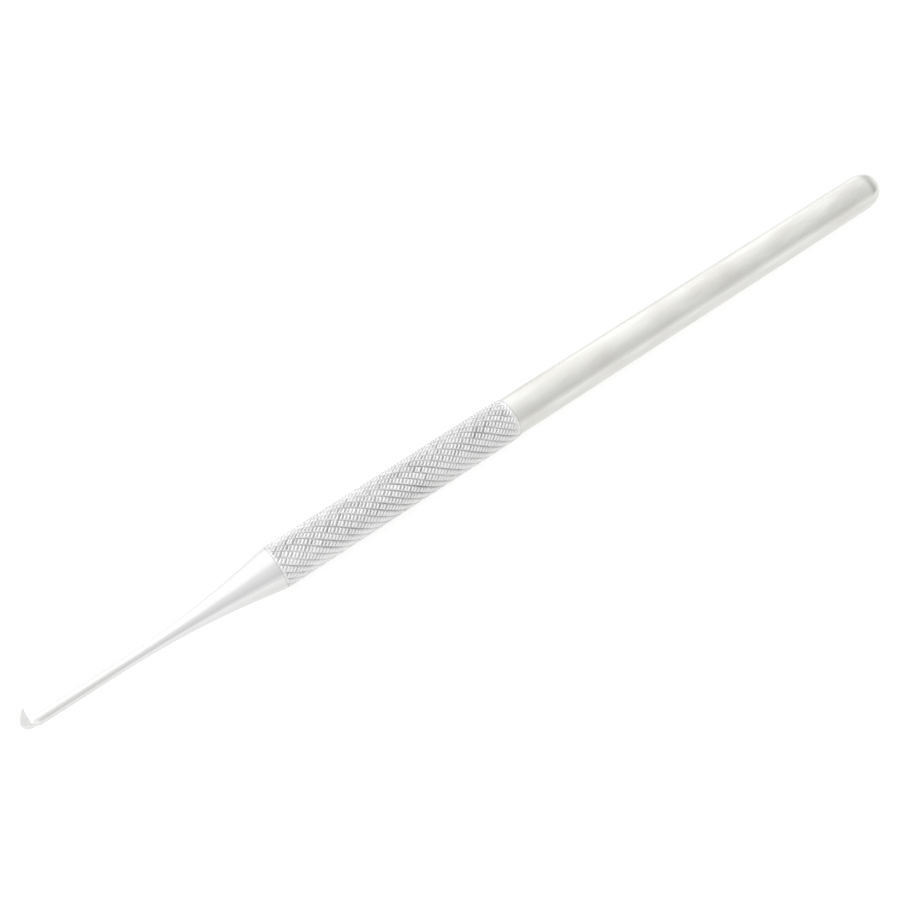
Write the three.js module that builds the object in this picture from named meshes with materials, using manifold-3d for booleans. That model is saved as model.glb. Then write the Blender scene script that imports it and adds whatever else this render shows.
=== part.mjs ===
// A hooked carving pick in bright steel, about a pen's length and half its thickness.
// From front to back: a pointed spur, a slim round shank, a flared neck, a knurled grip
// and a plain handle rod with a rounded end. Millimetres, +Z up.
//
// The tool lies along X with the spur at -X, pointing sideways along +Y. The origin is under
// the middle of its length, on the surface that the grip lies on.

import * as THREE from 'three'
import { mergeVertices } from 'three/addons/utils/BufferGeometryUtils.js'
import Module from 'manifold-3d'

const wasm = await Module()
wasm.setup()

// Driving dimensions. A "station" is a distance along the tool from the front of the spur.
const overallLength = 167.4
const sides = 24 // a multiple of four, so that a facet faces down, up and to each side

const spurReach = 2.8 // from the tool's axis to the point of the spur
const spurPointStation = 1.4
const spurBaseHalfThickness = 0.6
const spurPointHalfThickness = 0.05

const shankRadius = 0.84
const shankFullStation = 2.1 // where the shank, which is ground thin at the spur, is round
const flareStart = 12.5
const flareEnd = 39
const flareEndRadius = 3.29
const neckEnd = 40.2
const neckEndRadius = 3.43
const spigotRadius = 1.5
const spigotLength = 13

const gripLength = 43.4
const gripRadius = 3.5
const gripFrontChamfer = 0.5
const gripRunOut = 2.8 // the length over which the rear of the knurling falls to the rod
const coreRadius = 2.6

const rodRadius = 3.25
const rodEndTaper = 3.4 // the length of the rounded end
const rodEndFall = 1.9 // how far its radius falls

const seam = 0.05 // the gap between two pieces, radial and axial
const boreEndRoom = 0.6 // behind the spigot, so that the neck seats first
const coreSetBack = 0.3 // of the core behind the neck's face, for the same reason

const gripStart = neckEnd + seam
const gripEnd = gripStart + gripLength
const rodStart = gripEnd + seam
const boreEnd = neckEnd + spigotLength + boreEndRoom
const axisHeight = gripRadius

const brightSteel = new THREE.MeshStandardMaterial({ color: 0xd9d9d6, roughness: 0.28, metalness: 1 })
const knurledSteel = new THREE.MeshStandardMaterial({ color: 0xc9c9c6, roughness: 0.4, metalness: 1 })
const handleSteel = new THREE.MeshStandardMaterial({ color: 0xdcdcd8, roughness: 0.24, metalness: 1 })

// Points of a quarter ellipse that starts along the profile and turns in towards the axis.
function quarterArc(station, radius, stationReach, radiusReach, steps) {
  const points = []
  for (let step = 0; step <= steps; step++) {
    const turn = (step / steps) * (Math.PI / 2)
    points.push([station + stationReach * Math.sin(turn), radius - radiusReach * (1 - Math.cos(turn))])
  }
  return points
}

// Revolves a list of [station, radius] points round the tool's axis. The facets touch the
// true circle at their middles, and one of them lies underneath.
function turned(profile) {
  const cornerReach = 1 / Math.cos(Math.PI / sides)
  const points = profile.map(([station, radius]) => new THREE.Vector2(radius * cornerReach, station))
  const geometry = new THREE.LatheGeometry(points, sides, Math.PI / sides)
  geometry.rotateZ(-Math.PI / 2)
  return geometry
}

function toSolid(geometry) {
  const bare = geometry.clone()
  bare.deleteAttribute('normal')
  bare.deleteAttribute('uv')
  const merged = mergeVertices(bare, 1e-4)
  const corners = merged.index.array
  const kept = []
  for (let i = 0; i < corners.length; i += 3) {
    const [a, b, c] = corners.slice(i, i + 3)
    if (a !== b && b !== c && c !== a) kept.push(a, b, c)
  }
  const mesh = new wasm.Mesh({
    numProp: 3,
    vertProperties: merged.attributes.position.array,
    triVerts: new Uint32Array(kept),
  })
  return new wasm.Manifold(mesh)
}

function toGeometry(solid) {
  const { vertProperties, triVerts } = solid.getMesh()
  const geometry = new THREE.BufferGeometry()
  geometry.setAttribute('position', new THREE.BufferAttribute(vertProperties, 3))
  geometry.setIndex(new THREE.BufferAttribute(triVerts, 1))
  geometry.computeVertexNormals()
  return geometry
}

// The shank, the flare and the spigot that is pressed into the handle's core.
function shankAndNeck() {
  const flare = new THREE.CubicBezierCurve(
    new THREE.Vector2(flareStart, shankRadius),
    new THREE.Vector2(flareStart + 10.7, shankRadius + 0.02),
    new THREE.Vector2(flareEnd - 9.1, flareEndRadius - 1.72),
    new THREE.Vector2(flareEnd, flareEndRadius),
  )
  const spigotEnd = neckEnd + spigotLength
  const spigotChamfer = 0.4
  return turned([
    [shankFullStation - 1.2, 0],
    [shankFullStation - 1.2, spurBaseHalfThickness - 0.18],
    [shankFullStation - 0.7, spurBaseHalfThickness - 0.04],
    [shankFullStation, shankRadius],
    ...flare.getPoints(16).map((point) => [point.x, point.y]),
    [neckEnd - 0.4, neckEndRadius],
    [neckEnd, neckEndRadius],
    [neckEnd, spigotRadius],
    [spigotEnd - spigotChamfer, spigotRadius],
    [spigotEnd, spigotRadius - spigotChamfer],
    [spigotEnd, 0],
  ])
}

// The spur with the thin end of the shank that it grows from: a flat-sided tooth with a
// rounded heel, a nearly straight front edge that leans back and a hollow inner edge.
function spur() {
  const heelDepth = 0.55 // of the side away from the point, below the axis
  const outline = new THREE.Shape()
  outline.moveTo(0, 0.6)
  outline.bezierCurveTo(0.28, 1.45, 0.8, 2.45, spurPointStation - 0.04, spurReach)
  outline.lineTo(spurPointStation + 0.03, spurReach - 0.02)
  outline.quadraticCurveTo(1.28, 1.5, 1.45, 0.6)
  outline.lineTo(1.8, 0.3)
  outline.lineTo(1.8, -0.45)
  outline.lineTo(1.3, -heelDepth)
  outline.quadraticCurveTo(0.15, -heelDepth, 0, 0.6)
  const geometry = new THREE.ExtrudeGeometry(outline, { depth: 2, bevelEnabled: false, curveSegments: 10 })
  geometry.translate(0, 0, -1)
  const position = geometry.attributes.position
  for (let i = 0; i < position.count; i++) {
    const rise = (position.getY(i) + heelDepth) / (spurReach + heelDepth)
    const halfThickness = THREE.MathUtils.lerp(spurBaseHalfThickness, spurPointHalfThickness, rise)
    position.setZ(i, position.getZ(i) * halfThickness)
  }
  return geometry
}

function workingEnd() {
  return toGeometry(toSolid(shankAndNeck()).add(toSolid(spur())))
}

// The knurled sleeve, at the height of its diamonds' tips, held between neck and rod.
function gripSleeve() {
  const bore = coreRadius + seam
  return turned([
    [gripStart, bore],
    [gripStart, neckEndRadius],
    [gripStart + gripFrontChamfer, gripRadius],
    ...quarterArc(gripEnd - gripRunOut, gripRadius, gripRunOut, gripRadius - rodRadius, 5),
    [gripEnd, bore],
    [gripStart, bore],
  ])
}

// The rod and, through the sleeve, its slimmer core with the spigot's bore.
function handleRod() {
  const bore = spigotRadius + seam
  return turned([
    [boreEnd, 0],
    [boreEnd, bore],
    [neckEnd + coreSetBack, bore],
    [neckEnd + coreSetBack, coreRadius],
    [rodStart, coreRadius],
    [rodStart, rodRadius],
    ...quarterArc(overallLength - rodEndTaper, rodRadius, rodEndTaper, rodEndFall, 10),
    [overallLength, 0],
  ])
}

const group = new THREE.Group()
group.position.set(-overallLength / 2, 0, axisHeight)

function addPiece(name, geometry, material) {
  const mesh = new THREE.Mesh(geometry, material)
  mesh.name = name
  group.add(mesh)
}

addPiece('working_end', workingEnd(), brightSteel)
addPiece('grip_sleeve', gripSleeve(), knurledSteel)
addPiece('handle_rod', handleRod(), handleSteel)

export default group
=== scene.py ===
"""A hooked carving pick in bright steel, lying on a pale table under soft studio light.

Three pieces stand for the three CAD nodes: the working end (spur, shank and flared neck),
the knurled grip sleeve and the handle rod. Shapes are worked out in millimetres in the
tool's own terms: a "station" is a distance along the tool from the front of the spur, and
radii are measured from the tool's axis. Meshes are written in metres, in the frame of the CAD.
"""

import math

import bpy
import numpy as np
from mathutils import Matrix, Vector


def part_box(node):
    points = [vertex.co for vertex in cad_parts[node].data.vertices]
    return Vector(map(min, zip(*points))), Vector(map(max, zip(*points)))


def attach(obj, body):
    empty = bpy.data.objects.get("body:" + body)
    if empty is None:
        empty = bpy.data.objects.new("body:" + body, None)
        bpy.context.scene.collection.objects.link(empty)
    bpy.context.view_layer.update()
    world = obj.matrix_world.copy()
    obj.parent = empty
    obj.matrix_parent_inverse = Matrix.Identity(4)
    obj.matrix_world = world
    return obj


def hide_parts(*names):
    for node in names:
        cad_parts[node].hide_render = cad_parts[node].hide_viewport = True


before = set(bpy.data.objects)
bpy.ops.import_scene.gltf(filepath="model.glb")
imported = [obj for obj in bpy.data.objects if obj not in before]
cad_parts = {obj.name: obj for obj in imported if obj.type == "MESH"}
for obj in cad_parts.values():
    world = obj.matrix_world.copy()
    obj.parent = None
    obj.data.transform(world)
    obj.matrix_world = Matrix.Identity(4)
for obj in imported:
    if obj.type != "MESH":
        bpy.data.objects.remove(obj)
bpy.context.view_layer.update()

MM = 0.001
TURN = 2 * math.pi

# The driving sizes, read from the CAD nodes, in millimetres.
end_low, end_high = (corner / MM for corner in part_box("working_end"))
grip_low, grip_high = (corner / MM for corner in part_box("grip_sleeve"))
rod_low, rod_high = (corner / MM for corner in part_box("handle_rod"))

SPUR_FRONT = end_low.x
AXIS_HEIGHT = (grip_low.z + grip_high.z) / 2
SPUR_REACH = 2.8  # the neck is wider than the spur reaches, so the box does not tell it
GRIP_RADIUS = (grip_high.z - grip_low.z) / 2
ROD_RADIUS = (rod_high.z - rod_low.z) / 2
GRIP_START = grip_low.x - SPUR_FRONT
GRIP_END = grip_high.x - SPUR_FRONT
CORE_START = rod_low.x - SPUR_FRONT
OVERALL_LENGTH = rod_high.x - SPUR_FRONT
SPIGOT_END = end_high.x - SPUR_FRONT

SEAM = 0.05  # room between a piece and its neighbour
NECK_END = GRIP_START - SEAM
ROD_START = GRIP_END + SEAM
NECK_END_RADIUS = GRIP_RADIUS - 0.07  # the grip stands a little proud of the neck
SHANK_RADIUS = 0.84
SPIGOT_RADIUS = 1.5
CORE_RADIUS = 2.6

# The knurl's unevenness comes from seeded draws, so that each run makes the same tool.
random = np.random.default_rng(11)


# ---------------------------------------------------------------- meshes

def quadratic(start, middle, end, steps):
    """Points of a quadratic curve from start towards middle and on to end."""
    t = np.linspace(0, 1, steps + 1)[:, None]
    start, middle, end = np.array(start), np.array(middle), np.array(end)
    return (1 - t) ** 2 * start + 2 * t * (1 - t) * middle + t**2 * end


def cubic(start, first, second, end, steps):
    """Points of a cubic curve with its two inner control points."""
    t = np.linspace(0, 1, steps + 1)[:, None]
    start, first, second, end = (np.array(p) for p in (start, first, second, end))
    return (1 - t) ** 3 * start + 3 * t * (1 - t) ** 2 * first + 3 * t**2 * (1 - t) * second + t**3 * end


def filleted(corners, steps=5):
    """An outline from [station, radius, fillet] corners, with each fillet rounded off."""
    points = []
    for i, (station, radius, fillet) in enumerate(corners):
        here = np.array([station, radius])
        if fillet == 0:
            points.append(here)
            continue
        before = np.array(corners[i - 1][:2]) - here
        after = np.array(corners[i + 1][:2]) - here
        before = here + before / np.linalg.norm(before) * fillet
        after = here + after / np.linalg.norm(after) * fillet
        points.extend(quadratic(before, here, after, steps))
    return np.array(points)


def lathe_rings(profile, columns):
    """One ring of points round the axis for each [station, radius] of the profile."""
    angle = np.arange(columns) * (TURN / columns)
    rings = np.empty((len(profile), columns, 3))
    rings[:, :, 0] = profile[:, :1]
    rings[:, :, 1] = profile[:, 1:] * np.cos(angle)
    rings[:, :, 2] = profile[:, 1:] * np.sin(angle)
    return rings


def band_faces(here, there, columns):
    """Quads between two rings, facing out, from the number of each ring's first point."""
    faces = []
    for j in range(columns):
        k = (j + 1) % columns
        faces.append((here + j, here + k, there + k, there + j))
    return faces


def build(name, rings, material, faces=None, loops=False, crease_degrees=35):
    """Makes a closed piece from rings of points and puts it in the place of its CAD node.
    Its first and last rings are capped, unless it loops back from the last to the first."""
    count, columns = rings.shape[:2]
    points = rings.reshape(-1, 3)
    if faces is None:
        faces = []
        for i in range(count - 1):
            faces += band_faces(i * columns, (i + 1) * columns, columns)
    if not loops:
        front, back = rings[0].mean(axis=0), rings[-1].mean(axis=0)
        points = np.vstack([points, front, back])
        last = (count - 1) * columns
        for j in range(columns):
            k = (j + 1) % columns
            faces.append((k, j, count * columns))
            faces.append((last + j, last + k, count * columns + 1))
    mesh = bpy.data.meshes.new(name)
    mesh.from_pydata((points + [SPUR_FRONT, 0, AXIS_HEIGHT]) * MM, [], faces)
    mesh.validate()
    mesh.shade_smooth()
    mesh.set_sharp_from_angle(angle=math.radians(crease_degrees))
    mesh.materials.append(material)
    piece = bpy.data.objects.new(name + "_detailed", mesh)
    bpy.context.scene.collection.objects.link(piece)
    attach(piece, "root")
    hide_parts(name)
    return piece


def paint(piece, name, values):
    """Stores a number for each vertex, which the piece's material reads by its name."""
    attribute = piece.data.attributes.new(name, "FLOAT", "POINT")
    padded = np.zeros(len(piece.data.vertices), np.float32)
    padded[: len(values)] = values
    attribute.data.foreach_set("value", padded)


# ---------------------------------------------------------------- node helpers

class Surface:
    """A material whose nodes are added one call at a time."""

    def __init__(self, name):
        self.material = bpy.data.materials.new(name)
        self.material.use_nodes = True
        self.tree = self.material.node_tree
        self.shader = self.tree.nodes["Principled BSDF"]
        self.place = self.add("TexCoord").outputs["Object"]

    def add(self, kind, inputs=None, **settings):
        node = self.tree.nodes.new("ShaderNode" + kind)
        for key, value in settings.items():
            setattr(node, key, value)
        for key, value in (inputs or {}).items():
            self.feed(node.inputs[key], value)
        return node

    def feed(self, socket, value):
        if isinstance(value, bpy.types.NodeSocket):
            self.tree.links.new(value, socket)
        else:
            socket.default_value = value

    def maths(self, operation, *values):
        return self.add("Math", dict(enumerate(values)), operation=operation).outputs[0]

    def spread(self, value, low, high, to_low=0.0, to_high=1.0):
        """Maps low..high of a value to to_low..to_high, and holds it there."""
        inputs = {"Value": value, "From Min": low, "From Max": high, "To Min": to_low, "To Max": to_high}
        return self.add("MapRange", inputs).outputs["Result"]

    def noise(self, per_mm, detail=2.0, roughness=0.5, turned=0.0, seed=0.0):
        """Noise with that many cells per millimetre along X, Y and Z, after a turn about Z."""
        scale = [cells / MM for cells in per_mm]
        inputs = {"Vector": self.place, "Rotation": (0, 0, turned), "Location": (seed, seed, seed)}
        turned_place = self.add("Mapping", inputs, vector_type="POINT").outputs[0]
        stretched = self.add("VectorMath", {0: turned_place, 1: scale}, operation="MULTIPLY").outputs[0]
        inputs = {"Vector": stretched, "Scale": 1.0, "Detail": detail, "Roughness": roughness}
        return self.add("TexNoise", inputs).outputs["Fac"]

    def attribute(self, name):
        return self.add("Attribute", attribute_name=name).outputs["Fac"]

    def mixed(self, share, colour_a, colour_b):
        node = self.add("Mix", {0: share}, data_type="RGBA")
        self.feed(node.inputs[6], colour_a)
        self.feed(node.inputs[7], colour_b)
        return node.outputs[2]


GREEN_LOSS = 0.15  # how much a warm steel loses in green, as a share of its loss in blue


def grey(value, warmth=0.0):
    """A steel colour of that brightness, a little yellower for a higher warmth."""
    return (value, value * (1 - GREEN_LOSS * warmth), value * (1 - warmth), 1.0)


# ---------------------------------------------------------------- materials

FINE_RELIEF = 0.0012 * MM  # of the turning and polishing lines
WAVE_RELIEF = 0.022 * MM  # of the slow waves that polishing leaves
SCRATCH_DEPTH = 0.6  # as a share of the fine relief
SCRATCH_BRIGHTNESS = 0.35
SCRATCH_DULLING = 0.10  # roughness that a scratch adds
SMUDGE_DULLING = 0.16  # roughness that a full smudge adds
LINE_DULLING = 0.03  # roughness that the fine lines add or take away
STRETCH_TURN = 0.25  # reflections are drawn out a quarter turn from the radial tangent
SCRATCH_FROM, SCRATCH_FULL = 0.70, 0.78  # only the highest parts of its noise are a scratch
SMUDGE_FROM, SMUDGE_FULL = 0.40, 0.72


def steel(name, colours, roughness, turning, polish, smudge_share, anisotropy):
    """Bright steel with turning lines round the axis, polishing lines along it, fine
    scratches that cross both, and smudges where it has been handled. The colours are those
    of clean, smudged and scratched steel."""
    s = Surface(name)
    rings = s.noise((9.0, 0.05, 0.05), detail=3.0)
    fine_rings = s.noise((34.0, 0.3, 0.3), detail=2.0, seed=0.3)
    lines = s.noise((0.05, 7.0, 7.0), detail=3.0, seed=0.7)
    smudges = s.noise((0.09, 0.35, 0.35), detail=4.0, roughness=0.55, seed=0.1)
    waves = s.noise((0.16, 0.5, 0.5), detail=1.0, seed=0.9)

    scratch_heights = []
    for turned, cells, seed in ((0.45, (0.12, 16, 16), 0.2), (-0.8, (0.16, 20, 20), 0.5)):
        field = s.noise(cells, detail=1.0, turned=turned, seed=seed)
        scratch_heights.append(s.spread(field, SCRATCH_FROM, SCRATCH_FULL))
    scratches = s.maths("MAXIMUM", *scratch_heights)

    smudged = s.spread(smudges, SMUDGE_FROM, SMUDGE_FULL, 0.0, smudge_share)
    clean_colour, smudged_colour, scratched_colour = colours
    colour = s.mixed(smudged, clean_colour, smudged_colour)
    colour = s.mixed(s.maths("MULTIPLY", scratches, SCRATCH_BRIGHTNESS), colour, scratched_colour)
    s.feed(s.shader.inputs["Base Color"], colour)

    gloss = s.maths("MULTIPLY_ADD", smudged, SMUDGE_DULLING, roughness)
    gloss = s.maths("MULTIPLY_ADD", s.spread(fine_rings, 0.3, 0.7, -1, 1), LINE_DULLING, gloss)
    gloss = s.maths("MULTIPLY_ADD", scratches, SCRATCH_DULLING, gloss)
    s.feed(s.shader.inputs["Roughness"], gloss)

    height = s.maths("MULTIPLY", rings, turning)
    height = s.maths("MULTIPLY_ADD", fine_rings, turning * 0.35, height)
    height = s.maths("MULTIPLY_ADD", lines, polish, height)
    height = s.maths("MULTIPLY_ADD", scratches, -SCRATCH_DEPTH, height)
    fine_bump = s.add("Bump", {"Height": height, "Distance": FINE_RELIEF, "Strength": 1.0})
    wave_bump = s.add("Bump", {"Height": waves, "Distance": WAVE_RELIEF, "Normal": fine_bump.outputs[0]})
    s.feed(s.shader.inputs["Normal"], wave_bump.outputs[0])

    s.shader.inputs["Metallic"].default_value = 1.0
    s.shader.inputs["Anisotropic"].default_value = anisotropy
    tangent = s.add("Tangent", direction_type="RADIAL", axis="X")
    s.feed(s.shader.inputs["Tangent"], tangent.outputs[0])
    s.shader.inputs["Anisotropic Rotation"].default_value = STRETCH_TURN
    return s


GRIND_RELIEF = 0.004 * MM
GRIND_DULLING = 0.25


def blade_steel():
    """The working end's steel: polished along its length. The spur's two ground faces are
    duller and greyer, with straight grinding lines."""
    s = steel(
        "blade_steel",
        colours=(grey(0.71), grey(0.65, 0.02), grey(0.78)),
        roughness=0.19,
        turning=0.25,
        polish=0.7,
        smudge_share=0.8,
        anisotropy=0.35,
    )
    ground = s.attribute("ground")
    grind = s.noise((30.0, 0.8, 0.8), detail=3.0, turned=0.5, seed=0.4)
    colour = s.shader.inputs["Base Color"].links[0].from_socket
    s.feed(s.shader.inputs["Base Color"], s.mixed(ground, colour, grey(0.52, 0.01)))
    bump = s.add("Bump", {"Height": grind, "Distance": GRIND_RELIEF, "Strength": ground})
    s.feed(bump.inputs["Normal"], s.shader.inputs["Normal"].links[0].from_socket)
    s.feed(s.shader.inputs["Normal"], bump.outputs[0])
    gloss = s.shader.inputs["Roughness"].links[0].from_socket
    s.feed(s.shader.inputs["Roughness"], s.maths("MULTIPLY_ADD", ground, GRIND_DULLING, gloss))
    return s.material


KNURL_GRAIN = 0.10 * MM  # the rough skin that the knurling wheel leaves
KNURL_SMOOTH, KNURL_DULL = 0.2, 0.32  # roughness at the tips and in the grooves
KNURL_GRAIN_DULLING = 0.12
KNURL_RIM_TINT = (0.6, 0.6, 0.6, 1)  # dims what the knurl mirrors at a grazing angle


def knurled_steel():
    """The grip's steel: worn bright on the diamonds' tips, satin on their flanks, and dull at the bottom
    of the grooves, where painted shade darkens it, more in some patches than in others."""
    s = Surface("knurled_steel")
    depth = s.attribute("depth")
    grain = s.noise((4.0, 4.0, 4.0), detail=4.0, roughness=0.6)
    patches = s.noise((0.14, 0.4, 0.4), detail=3.0, seed=0.6)
    # painted shade: the deeper a point lies in a groove, the darker its colour, in patches along the
    # grip
    painted_groove_shade = s.maths("MULTIPLY", s.spread(depth, 0.3, 0.9), s.spread(patches, 0.3, 0.75, 0.45, 1.0))
    colour = s.mixed(s.spread(patches, 0.35, 0.7), grey(0.77), grey(0.71))
    colour = s.mixed(s.spread(depth, 0.12, 0.0), colour, grey(0.80))
    colour = s.mixed(painted_groove_shade, colour, grey(0.34, 0.01))
    s.feed(s.shader.inputs["Base Color"], colour)
    gloss = s.spread(depth, 0.0, 1.0, KNURL_SMOOTH, KNURL_DULL)
    gloss = s.maths("MULTIPLY_ADD", grain, KNURL_GRAIN_DULLING, gloss)
    s.feed(s.shader.inputs["Roughness"], gloss)
    bump = s.add("Bump", {"Height": grain, "Distance": KNURL_GRAIN, "Strength": 0.8})
    s.feed(s.shader.inputs["Normal"], bump.outputs[0])
    s.shader.inputs["Metallic"].default_value = 1.0
    s.shader.inputs["Specular Tint"].default_value = KNURL_RIM_TINT
    return s.material


def handle_steel():
    """The rod's steel: turned, then polished, with more smudges than the working end."""
    s = steel(
        "handle_steel",
        colours=(grey(0.68, 0.03), grey(0.60, 0.06), grey(0.78)),
        roughness=0.15,
        turning=0.35,
        polish=0.2,
        smudge_share=1.0,
        anisotropy=0.45,
    )
    return s.material


TABLE_DARK = (0.31, 0.31, 0.309, 1)
TABLE_LIGHT = (0.34, 0.34, 0.339, 1)
TABLE_GLOW_COLOUR = (1, 1, 0.995, 1)
TABLE_GLOW = 0.76


def table_surface():
    """A pale, smooth table that glows a little, as a light table does."""
    s = Surface("pale_table")
    mottle = s.noise((0.02, 0.02, 0.02), detail=3.0)
    s.feed(s.shader.inputs["Base Color"], s.mixed(mottle, TABLE_DARK, TABLE_LIGHT))
    s.shader.inputs["Roughness"].default_value = 0.6
    s.shader.inputs["Specular IOR Level"].default_value = 0.1
    s.shader.inputs["Emission Color"].default_value = TABLE_GLOW_COLOUR
    s.shader.inputs["Emission Strength"].default_value = TABLE_GLOW
    return s.material


# ---------------------------------------------------------------- working end

END_COLUMNS = 96
SPUR_BASE_HALF_THICKNESS = 0.6
SPUR_POINT_HALF_THICKNESS = 0.05
SPUR_POINT_STATION = 1.4
HEEL_DEPTH = 0.55
POINT_BLUNTNESS = 0.03
UNGROUND_FULLNESS = 1.25  # thickness of the spur before it was ground, as a share of its width
GROUND_END = 1.35  # where the ground faces start to ramp up to the round shank
RAMP = 0.5  # rise of that ramp per millimetre
GROUND_EDGE = 0.03  # the steel looks fully ground where this much of it has gone
GROUND_FADE = 0.12  # past the ground faces, that look fades out over this length
ROUND_STATION = 2.3  # from here on the shank is round
OUTLINE_STEPS = 22
BLEND_STEPS = 10  # where the outline runs into the shank


def spur_edges():
    """The two edges of the spur's outline, outer and inner, as points (station, across)
    that face each other, from the round shank round the heel to the point."""
    heel, toe = (1.5, -0.55), (0.0, 0.6)
    bend, crook = (1.72, 0.86), (1.35, 1.2)
    outer_point = (SPUR_POINT_STATION - POINT_BLUNTNESS, SPUR_REACH)
    inner_point = (SPUR_POINT_STATION + POINT_BLUNTNESS, SPUR_REACH - POINT_BLUNTNESS)
    outer = [
        quadratic((ROUND_STATION, -SHANK_RADIUS), (1.8, -0.62), heel, BLEND_STEPS),
        quadratic(heel, (0.13, -0.58), toe, OUTLINE_STEPS)[1:],
        cubic(toe, (0.28, 1.45), (0.8, 2.45), outer_point, OUTLINE_STEPS)[1:],
    ]
    inner = [
        quadratic((ROUND_STATION, SHANK_RADIUS), (1.9, SHANK_RADIUS), bend, BLEND_STEPS),
        quadratic(bend, (1.36, 0.88), crook, OUTLINE_STEPS)[1:],
        quadratic(crook, (1.30, 1.95), inner_point, OUTLINE_STEPS)[1:],
    ]
    return np.vstack(outer), np.vstack(inner)


def ground_half_thickness(station, across):
    """Half the thickness left by the two ground faces, which taper towards the point."""
    rise = (across + HEEL_DEPTH) / (SPUR_REACH + HEEL_DEPTH)
    thickness = SPUR_BASE_HALF_THICKNESS + (SPUR_POINT_HALF_THICKNESS - SPUR_BASE_HALF_THICKNESS) * rise
    return thickness + np.maximum(0, station - GROUND_END) * RAMP


def spur_rings():
    """The spur's rings, from its point to the round shank, and how ground each of their
    points looks, from 0 to 1."""
    outer, inner = spur_edges()
    angle = np.arange(END_COLUMNS) * (TURN / END_COLUMNS)
    middle = (outer + inner) / 2
    reach = (inner - outer) / 2
    rings = np.empty((len(outer), END_COLUMNS, 3))
    rings[:, :, :2] = middle[:, None] + reach[:, None] * np.cos(angle)[:, None]
    size = np.linalg.norm(reach, axis=1)
    thickness = np.minimum(SHANK_RADIUS, size * UNGROUND_FULLNESS)
    rings[:, :, 2] = thickness[:, None] * np.sin(angle)
    limit = ground_half_thickness(rings[:, :, 0], rings[:, :, 1])
    height = np.abs(rings[:, :, 2])
    ground = np.clip((height - limit) / GROUND_EDGE, 0, 1)
    ground = ground * np.clip((GROUND_END + GROUND_FADE - rings[:, :, 0]) / GROUND_FADE, 0, 1)
    rings[:, :, 2] = np.sign(rings[:, :, 2]) * np.minimum(height, limit)
    return rings[::-1], ground[::-1]


SHANK_START, SHANK_RINGS = 3.2, 12
FLARE_START, FLARE_END, FLARE_RINGS = 12.5, 39.0, 64
FLARE_END_RADIUS = GRIP_RADIUS - 0.21
NECK_RIM, NECK_RIM_RISE = 0.5, 0.03  # the last, almost level length of the neck
SPIGOT_CHAMFER = 0.4
CAP_RADIUS = 0.4  # of the last ring, which a small cap closes


def working_end():
    """The spur, the thin shank, the flared neck and the hidden spigot, in one piece."""
    tip, ground = spur_rings()
    shank_stations = np.linspace(SHANK_START, FLARE_START, SHANK_RINGS)
    shank = np.column_stack([shank_stations, np.full(SHANK_RINGS, SHANK_RADIUS)])
    flare = cubic(
        (FLARE_START, SHANK_RADIUS),
        (23.2, SHANK_RADIUS + 0.02),
        (29.9, FLARE_END_RADIUS - 1.72),
        (FLARE_END, FLARE_END_RADIUS),
        FLARE_RINGS,
    )
    # Over the neck's edge, and down and along the spigot.
    neck = filleted([
        (NECK_END - NECK_RIM, NECK_END_RADIUS - NECK_RIM_RISE, 0),
        (NECK_END, NECK_END_RADIUS, 0.04),
        (NECK_END, SPIGOT_RADIUS, 0.06),
        (SPIGOT_END - SPIGOT_CHAMFER, SPIGOT_RADIUS, 0.1),
        (SPIGOT_END, SPIGOT_RADIUS - SPIGOT_CHAMFER, 0.1),
        (SPIGOT_END, CAP_RADIUS, 0),
    ])
    body = lathe_rings(np.vstack([shank, flare[1:], neck]), END_COLUMNS)
    piece = build("working_end", np.vstack([tip, body]), blade_steel())
    paint(piece, "ground", ground.ravel())


# ---------------------------------------------------------------- grip sleeve

STARTS = 16  # left-hand grooves, and half the number of right-hand ones
SAMPLES = 14  # mesh steps from one left-hand groove to the next
GROOVE_DEPTH = 0.30
SINGLE_HALF_WIDTH = 4 / SAMPLES  # as a share of the way from one left-hand groove to the next
FINE_HALF_WIDTH = 0.5  # as a share of the way from one right-hand groove to the next
GROOVE_EASE = 0.11  # how blunt the bottom of a groove is
SECOND_STRIKE_LOSS = 0.1  # how much shallower the second strike is
DEPTH_DRIFT = 0.05  # slow change of the grooves' depth along the grip
MOST_TIP_WEAR = 0.03
TIP_DEPTH = 0.2  # what is shallower than this share of a groove is part of a tip
GRIP_COLUMNS = STARTS * SAMPLES
GRIP_ROWS = 359  # the grooves move on by a column with each row, so this sets how far they lean
FRONT_CHAMFER = 0.5
FRONT_DEPTH = 0.2  # share of the grooves' depth that is left at the front edge
RUN_OUT = 2.8  # at the back, the knurl fades out over this length
RUN_OUT_SHADE_DEPTH = 0.2  # the smooth band at the very back is painted as this deep, in the depth that drives the knurl's painted groove shade
SLEEVE_END_STEP = 0.35  # the flat face at the back end has a ring of points this far in
BORE_CHAMFER = 0.1


def groove(phase, half_width):
    """How deep a groove is, 0 to 1, where phase counts grooves: a V with an eased bottom."""
    away = np.abs(phase - np.round(phase)) / half_width
    return np.clip(1 - np.hypot(away, GROOVE_EASE), 0, 1) / (1 - GROOVE_EASE)


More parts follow.
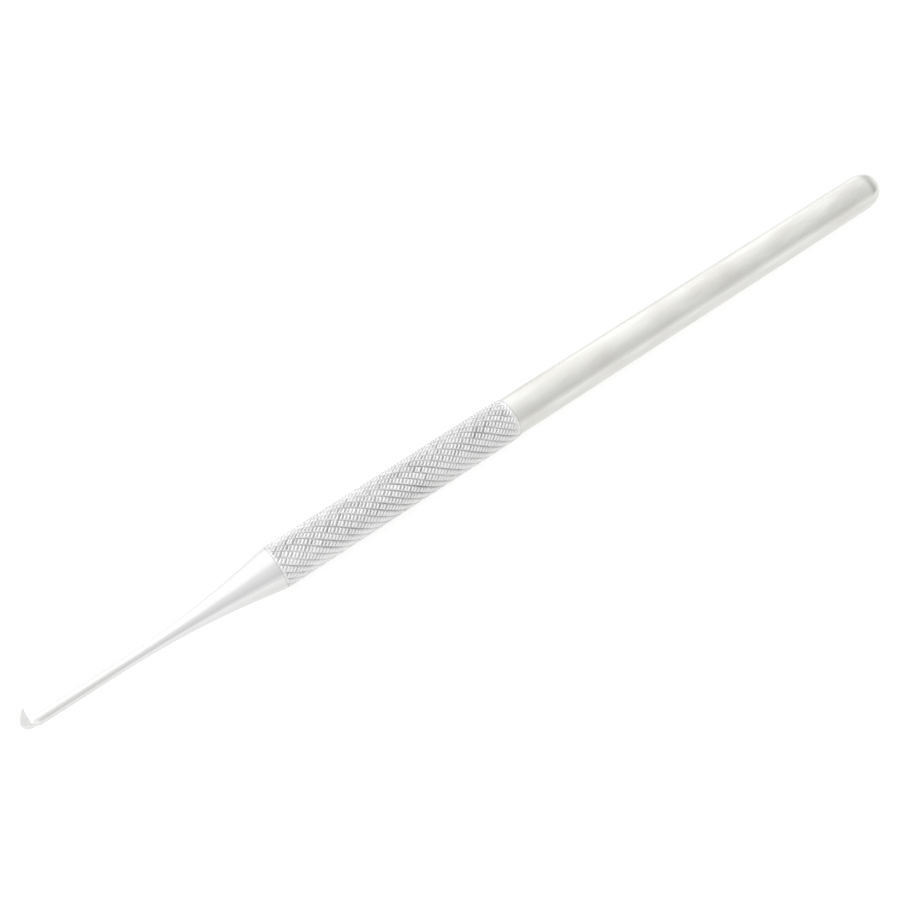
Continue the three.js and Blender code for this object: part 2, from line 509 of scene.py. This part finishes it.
def grip_sleeve():
    """The knurled sleeve: its grooved outside, its two ends and its bore, as a loop of rings."""
    column = np.arange(GRIP_COLUMNS)
    row = np.arange(GRIP_ROWS + 1)[:, None]
    start, end = GRIP_START - SEAM / 2, GRIP_END + SEAM / 2
    station = start + row * (end - start) / GRIP_ROWS
    right = (column + row) / SAMPLES
    left = (column - row) / SAMPLES

    # The left-hand grooves are single. The right-hand ones were struck twice, half a groove
    # apart, so they are finer, and every stroke between two left-hand grooves differs.
    pressed = random.uniform(0.75, 0.9, STARTS)
    struck = random.uniform(0.6, 0.95, (2 * STARTS, 2 * STARTS))
    drift = 1 + DEPTH_DRIFT * np.sin(station * 0.31 + 1.0) * np.sin(station * 0.12)
    stroke = np.round(2 * right).astype(int) % (2 * STARTS)
    lane = np.floor(left).astype(int) % STARTS
    right_depth = groove(2 * right, FINE_HALF_WIDTH) * struck[stroke, lane]
    right_depth = right_depth * (1 - SECOND_STRIKE_LOSS * (stroke % 2))
    left_depth = groove(left, SINGLE_HALF_WIDTH) * pressed[np.round(left).astype(int) % STARTS]
    deeper = np.maximum(right_depth, left_depth) * drift

    # The diamonds' tips are worn by different amounts.
    wear = random.uniform(0.0, MOST_TIP_WEAR, (STARTS, STARTS))
    tip_wear = wear[np.floor(right).astype(int) % STARTS, lane]

    # Both run from 0 to 1: over the chamfer at the front, and into the run-out at the back.
    past_front = np.clip((station - start) / FRONT_CHAMFER, 0, 1)
    into_run_out = np.clip((station - (end - RUN_OUT)) / RUN_OUT, 0, 1)
    envelope = NECK_END_RADIUS + (GRIP_RADIUS - NECK_END_RADIUS) * np.sqrt(past_front)
    envelope = envelope - (GRIP_RADIUS - ROD_RADIUS) * (1 - np.sqrt(1 - into_run_out**2))
    fade = (1 - into_run_out**5) * (FRONT_DEPTH + (1 - FRONT_DEPTH) * past_front)
    radius = envelope - fade * (GROOVE_DEPTH * deeper + tip_wear * (deeper < TIP_DEPTH))

    angle = column * (TURN / GRIP_COLUMNS)
    outside = np.empty((GRIP_ROWS + 1, GRIP_COLUMNS, 3))
    outside[:, :, 0] = station
    outside[:, :, 1] = radius * np.cos(angle)
    outside[:, :, 2] = radius * np.sin(angle)

    bore = CORE_RADIUS + SEAM
    inside = lathe_rings(np.array([
        (end, ROD_RADIUS - SLEEVE_END_STEP),
        (end, bore + BORE_CHAMFER),
        (end - BORE_CHAMFER, bore),
        (start + BORE_CHAMFER, bore),
        (start, bore + BORE_CHAMFER),
    ]), GRIP_COLUMNS)
    rings = np.vstack([outside, inside])

    # Each cell of the mesh is split along the groove that shapes it, so flanks stay flat.
    faces = []
    right_rules = right_depth >= left_depth
    cell_right = right_rules[:-1] & right_rules[1:]
    for i in range(GRIP_ROWS):
        here, there = i * GRIP_COLUMNS, (i + 1) * GRIP_COLUMNS
        for j in range(GRIP_COLUMNS):
            k = (j + 1) % GRIP_COLUMNS
            a, b, c, d = here + j, here + k, there + k, there + j
            if cell_right[i, j]:
                faces += [(a, b, d), (b, c, d)]
            else:
                faces += [(a, b, c), (a, c, d)]
    count = len(rings)
    for i in range(GRIP_ROWS, count):
        faces += band_faces(i * GRIP_COLUMNS, (i + 1) % count * GRIP_COLUMNS, GRIP_COLUMNS)
    piece = build(
        "grip_sleeve",
        rings,
        knurled_steel(),
        faces=faces,
        loops=True,
        crease_degrees=42,
    )
    # the depth drives the knurl's roughness, its tips' brightness and its painted groove shade
    paint(piece, "depth", np.maximum(deeper * fade, RUN_OUT_SHADE_DEPTH * into_run_out**2).ravel())


# ---------------------------------------------------------------- handle rod

ROD_COLUMNS = 96
ROD_END_TAPER = 3.4  # the length of the rounded end
ROD_END_FALL = 1.9  # how far its radius falls
ROD_END_RINGS = 24
BORE_END_ROOM = 0.6  # the bore runs on past the spigot
BORE_CONE, BORE_CONE_RADIUS = 0.5, 0.3  # the length and the least radius of the drill's cone


def handle_rod():
    """The slim core with its bore, hidden in the sleeve, and the smooth rod with its rounded end."""
    bore = SPIGOT_RADIUS + SEAM
    bore_end = SPIGOT_END + BORE_END_ROOM
    rounding_start = OVERALL_LENGTH - ROD_END_TAPER
    # From the bottom of the bore forwards, then over the core and along the rod.
    front = filleted([
        (bore_end + BORE_CONE, BORE_CONE_RADIUS, 0),
        (bore_end, bore, 0.1),
        (CORE_START, bore, 0.1),
        (CORE_START, CORE_RADIUS, 0.15),
        (ROD_START, CORE_RADIUS, 0.1),
        (ROD_START, ROD_RADIUS, 0.02),
        (rounding_start - 0.2, ROD_RADIUS, 0),
    ])
    turn = np.linspace(0, math.pi / 2, ROD_END_RINGS)
    back = np.column_stack([
        rounding_start + ROD_END_TAPER * np.sin(turn),
        ROD_RADIUS - ROD_END_FALL * (1 - np.cos(turn)),
    ])
    rings = lathe_rings(np.vstack([front, back]), ROD_COLUMNS)
    build("handle_rod", rings, handle_steel())


# ---------------------------------------------------------------- table, light and camera

TABLE_REACH = 3.0  # metres from its middle to each side


def table():
    """A flat square at the height that the tool lies on."""
    mesh = bpy.data.meshes.new("table")
    far = TABLE_REACH
    corners = [(-far, -far, 0), (far, -far, 0), (far, far, 0), (-far, far, 0)]
    mesh.from_pydata(corners, [], [(0, 1, 2, 3)])
    mesh.materials.append(table_surface())
    floor = bpy.data.objects.new("table", mesh)
    bpy.context.scene.collection.objects.link(floor)


def light_panel(name, low, high, distance, length, along, radiance):
    """A soft panel parallel to the tool's axis, which fills the degrees from low to high with
    that brightness. They are measured round the axis, from the table on the camera's side,
    over the top, to the table behind. Its middle is at "along" on the X axis, in metres."""
    turn = math.radians((low + high) / 2)
    way = Vector((0, -math.cos(turn), math.sin(turn)))
    width = 2 * distance * math.tan(math.radians(high - low) / 2)
    lamp = bpy.data.lights.new(name, "AREA")
    lamp.shape = "RECTANGLE"
    lamp.size = length
    lamp.size_y = width
    lamp.energy = radiance * math.pi * width * length
    panel = bpy.data.objects.new(name, lamp)
    panel.location = Vector((along, 0, AXIS_HEIGHT * MM)) + way * distance
    panel.rotation_mode = "QUATERNION"
    panel.rotation_quaternion = way.to_track_quat("Z", "Y")
    bpy.context.scene.collection.objects.link(panel)


NEAR_BRIGHTNESS, FAR_BRIGHTNESS = 0.86, 1.50  # of the room on the camera's side and behind
BRIGHTENING_REACH = 0.9  # how far a direction points to either side where these are reached


def room():
    """A pale room that brightens from the camera's side towards the back, and is darker
    past the handle's end."""
    world = bpy.data.worlds.new("room")
    bpy.context.scene.world = world
    world.use_nodes = True
    nodes, links = world.node_tree.nodes, world.node_tree.links
    place = nodes.new("ShaderNodeTexCoord")
    split = nodes.new("ShaderNodeSeparateXYZ")
    links.new(place.outputs["Generated"], split.inputs[0])

    front_to_back = nodes.new("ShaderNodeMapRange")
    links.new(split.outputs["Y"], front_to_back.inputs["Value"])
    front_to_back.inputs["From Min"].default_value = -BRIGHTENING_REACH
    front_to_back.inputs["From Max"].default_value = BRIGHTENING_REACH
    front_to_back.inputs["To Min"].default_value = NEAR_BRIGHTNESS
    front_to_back.inputs["To Max"].default_value = FAR_BRIGHTNESS

    to_the_end = nodes.new("ShaderNodeValToRGB")
    links.new(split.outputs["X"], to_the_end.inputs["Fac"])
    # How far a direction points to the handle's end, and the brightness there.
    stops = to_the_end.color_ramp.elements
    for end_share, level in ((0.66, 1.0), (0.74, 0.72), (0.86, 0.60), (1.0, 0.66)):
        stop = stops.new(end_share)
        stop.color = (level, level, level, 1)
    stops.remove(stops[0])
    stops.remove(stops[-1])

    brightness = nodes.new("ShaderNodeMath")
    brightness.operation = "MULTIPLY"
    links.new(front_to_back.outputs["Result"], brightness.inputs[0])
    links.new(to_the_end.outputs["Color"], brightness.inputs[1])
    links.new(brightness.outputs[0], nodes["Background"].inputs["Color"])


CAMERA_AZIMUTH = math.radians(-37.2)  # from square to the tool, towards its front end
CAMERA_ELEVATION = math.radians(57.4)
CAMERA_DISTANCE = 184.9
LENS_LENGTH, SENSOR_WIDTH = 47.92, 36
AIM_STATION, AIM_ACROSS, AIM_ABOVE_AXIS = 72.67, 0.64, 0.35


def camera():
    """Looks down on the tool from near its front end, from the side that the spur turns its
    back to."""
    aim = Vector((SPUR_FRONT + AIM_STATION, AIM_ACROSS, AXIS_HEIGHT + AIM_ABOVE_AXIS))
    back = Vector((
        math.sin(CAMERA_AZIMUTH) * math.cos(CAMERA_ELEVATION),
        -math.cos(CAMERA_AZIMUTH) * math.cos(CAMERA_ELEVATION),
        math.sin(CAMERA_ELEVATION),
    ))
    data = bpy.data.cameras.new("camera")
    data.sensor_width = SENSOR_WIDTH
    data.lens = LENS_LENGTH
    data.clip_start = 0.01
    made = bpy.data.objects.new("camera", data)
    made.location = (aim + back * CAMERA_DISTANCE) * MM
    made.rotation_mode = "QUATERNION"
    made.rotation_quaternion = (-back).to_track_quat("-Z", "Y")
    bpy.context.scene.collection.objects.link(made)
    bpy.context.scene.camera = made


working_end()
grip_sleeve()
handle_rod()
table()
room()

# Above the tool and a little behind it, past its front end.
light_panel("overhead_panel", low=86, high=137, distance=0.7, length=1.04, along=-0.40, radiance=0.15)
# Low on the camera's side, and then higher, past the front end, for the neck and the grip.
light_panel("front_end_panel", low=2, high=34, distance=0.8, length=0.9, along=-0.85, radiance=0.45)
light_panel("front_end_top", low=34, high=74, distance=0.8, length=0.6, along=-0.65, radiance=0.3)
# Behind the tool, past the front end, for the bright far edge of the neck and the grip.
light_panel("rear_end_panel", low=137, high=178, distance=0.9, length=0.55, along=-0.675, radiance=1.1)
# A long low board on the camera's side, for the near edge of the whole tool.
light_panel("front_board", low=1, high=16, distance=1.0, length=2.4, along=0.2, radiance=0.15)

camera()
bpy.context.scene.view_settings.view_transform = "Standard"
